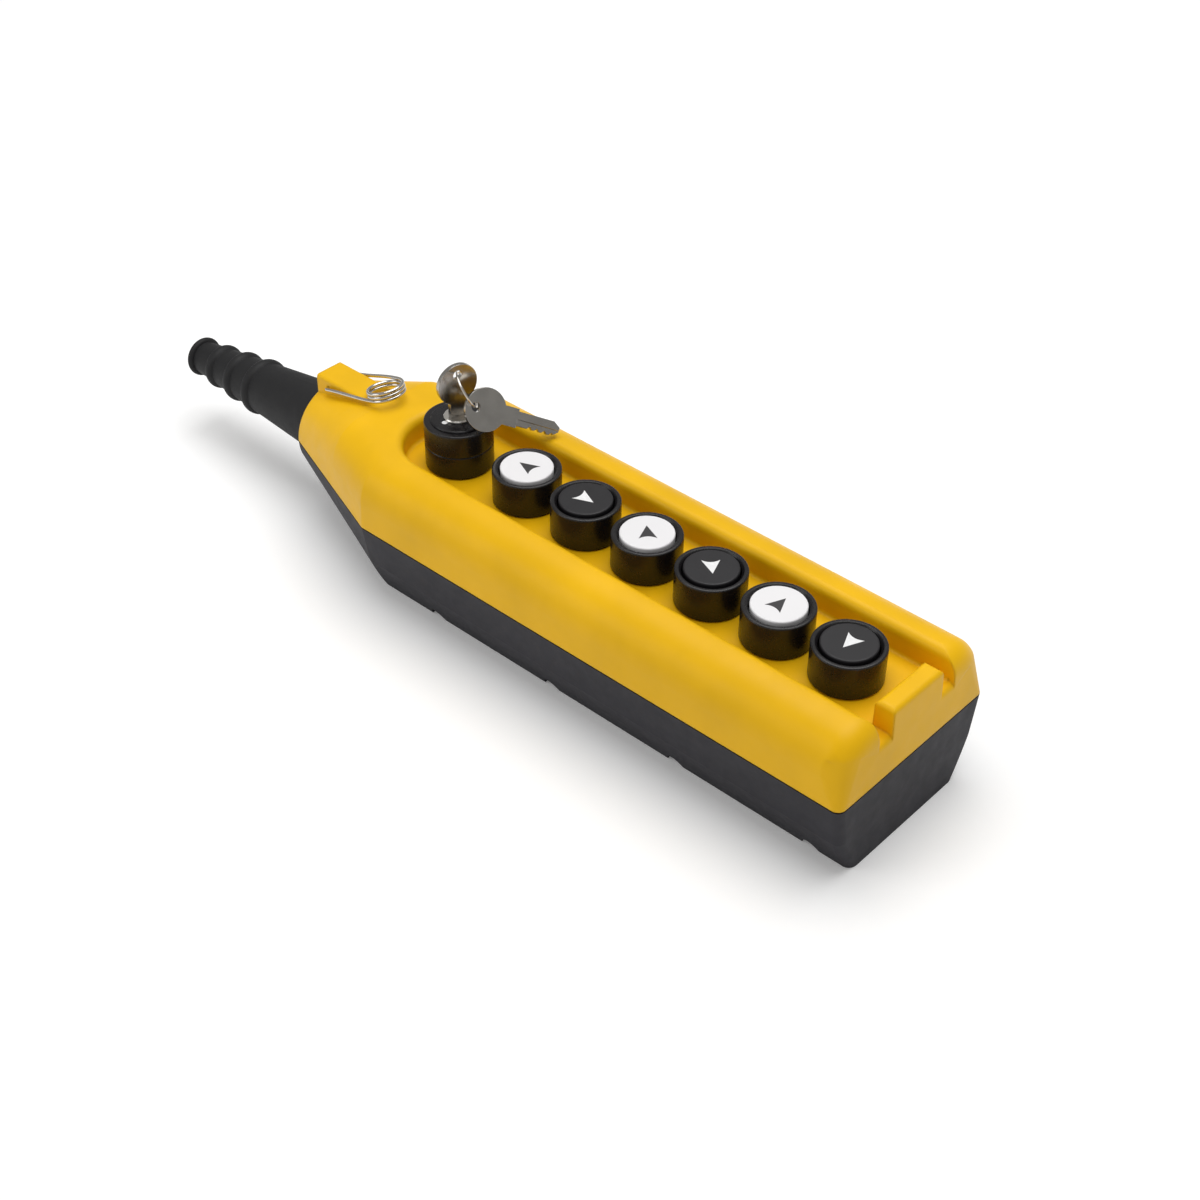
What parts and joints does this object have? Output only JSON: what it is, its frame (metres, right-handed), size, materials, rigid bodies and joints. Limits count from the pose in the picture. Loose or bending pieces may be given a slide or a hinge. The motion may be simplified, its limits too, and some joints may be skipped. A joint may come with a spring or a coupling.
{
  "type": "crane pendant control station",
  "caption": "Handheld crane pendant with raised pushbuttons in a sunk channel, a key switch with keys, a cable boot and a wire hanger clip.",
  "frame": {"origin": "middle of the bounding box at the flat back of the base", "axes": "+X toward the blunt bottom end of the station, -X along the cable boot, +Y across it, +Z out of the button face"},
  "size_m": [0.43, 0.0948, 0.1066],
  "materials": {
    "cover": "satin moulded, warm yellow",
    "base": "fine matte, charcoal",
    "gasket": "matte",
    "steel": "zinc plated",
    "boot": "matte rubber",
    "clamp": "matte",
    "wire": "bright nickel-plated wire",
    "collar": "satin",
    "white_cap": "satin",
    "black_cap": "satin",
    "stem": "satin",
    "spring": "bright",
    "contact_block": "matte",
    "brass": "nickel-plated brass",
    "lock_nut": "matte",
    "nickel": "bright nickel",
    "key": "nickel-plated brass"
  },
  "bodies": {
    "housing": {"cover": "cover", "base": "base", "parting_gasket": "gasket", "casing_screws": "steel", "cable_boot": "boot", "cable_clamp": "clamp", "cable_clamp_screws": "steel", "button_collar_1": "collar", "button_collar_2": "collar", "button_collar_3": "collar", "button_collar_4": "collar", "button_collar_5": "collar", "button_collar_6": "collar", "button_spring_1": "spring", "button_spring_2": "spring", "button_spring_3": "spring", "button_spring_4": "spring", "button_spring_5": "spring", "button_spring_6": "spring", "contact_block_1": "contact_block", "contact_block_2": "contact_block", "contact_block_3": "contact_block", "contact_block_4": "contact_block", "contact_block_5": "contact_block", "contact_block_6": "contact_block", "key_contact_block": "contact_block", "terminal_screws": "brass", "panel_seals": "gasket", "lock_nuts": "lock_nut", "key_lower_collar": "collar", "key_upper_collar": "collar", "key_plate": "collar"},
    "button_1": {"button_cap_1": "white_cap", "button_stem_1": "stem"},
    "button_2": {"button_cap_2": "black_cap", "button_stem_2": "stem"},
    "button_3": {"button_cap_3": "white_cap", "button_stem_3": "stem"},
    "button_4": {"button_cap_4": "black_cap", "button_stem_4": "stem"},
    "button_5": {"button_cap_5": "white_cap", "button_stem_5": "stem"},
    "button_6": {"button_cap_6": "black_cap", "button_stem_6": "stem"},
    "hanger": {"hanger_clip": "wire"},
    "lock": {"lock_cylinder": "nickel", "lock_cam": "steel"},
    "key": {"key": "key"},
    "ring": {"key_ring": "wire"},
    "spare": {"spare_key": "key"}
  },
  "joints": [
    {"name": "press_1", "type": "slide", "parent": "housing", "child": "button_1", "axis": [0, 0, -1], "range_m": [0, 0.0045], "stiffness_N_per_m": 600, "springref_m": -0.002, "deforming": ["button_spring_1"]},
    {"name": "press_2", "type": "slide", "parent": "housing", "child": "button_2", "axis": [0, 0, -1], "range_m": [0, 0.0045], "stiffness_N_per_m": 600, "springref_m": -0.002, "deforming": ["button_spring_2"]},
    {"name": "press_3", "type": "slide", "parent": "housing", "child": "button_3", "axis": [0, 0, -1], "range_m": [0, 0.0045], "stiffness_N_per_m": 600, "springref_m": -0.002, "deforming": ["button_spring_3"]},
    {"name": "press_4", "type": "slide", "parent": "housing", "child": "button_4", "axis": [0, 0, -1], "range_m": [0, 0.0045], "stiffness_N_per_m": 600, "springref_m": -0.002, "deforming": ["button_spring_4"]},
    {"name": "press_5", "type": "slide", "parent": "housing", "child": "button_5", "axis": [0, 0, -1], "range_m": [0, 0.0045], "stiffness_N_per_m": 600, "springref_m": -0.002, "deforming": ["button_spring_5"]},
    {"name": "press_6", "type": "slide", "parent": "housing", "child": "button_6", "axis": [0, 0, -1], "range_m": [0, 0.0045], "stiffness_N_per_m": 600, "springref_m": -0.002, "deforming": ["button_spring_6"]},
    {"name": "hanger_swing", "type": "hinge", "parent": "housing", "child": "hanger", "pos_m": [-0.10815, 0, 0.0643], "axis": [0, -1, 0], "range_deg": [0, 160]},
    {"name": "lock_turn", "type": "hinge", "parent": "housing", "child": "lock", "pos_m": [-0.03045, 0, 0.08], "axis": [0, 0, 1], "range_deg": [0, 90]},
    {"name": "key_withdraw", "type": "slide", "parent": "lock", "child": "key", "axis": [0, 0, 1], "range_m": [0, 0.022]},
    {"name": "ring_swing", "type": "hinge", "parent": "key", "child": "ring", "pos_m": [-0.03045, 0, 0.1018], "axis": [0.9744, -0.225, 0], "range_deg": [0, 20]},
    {"name": "spare_swing", "type": "hinge", "parent": "ring", "child": "spare", "pos_m": [-0.01995, 0.00037, 0.08964], "axis": [0.8427, -0.2548, 0.4742], "range_deg": [0, 20]}
  ]
}
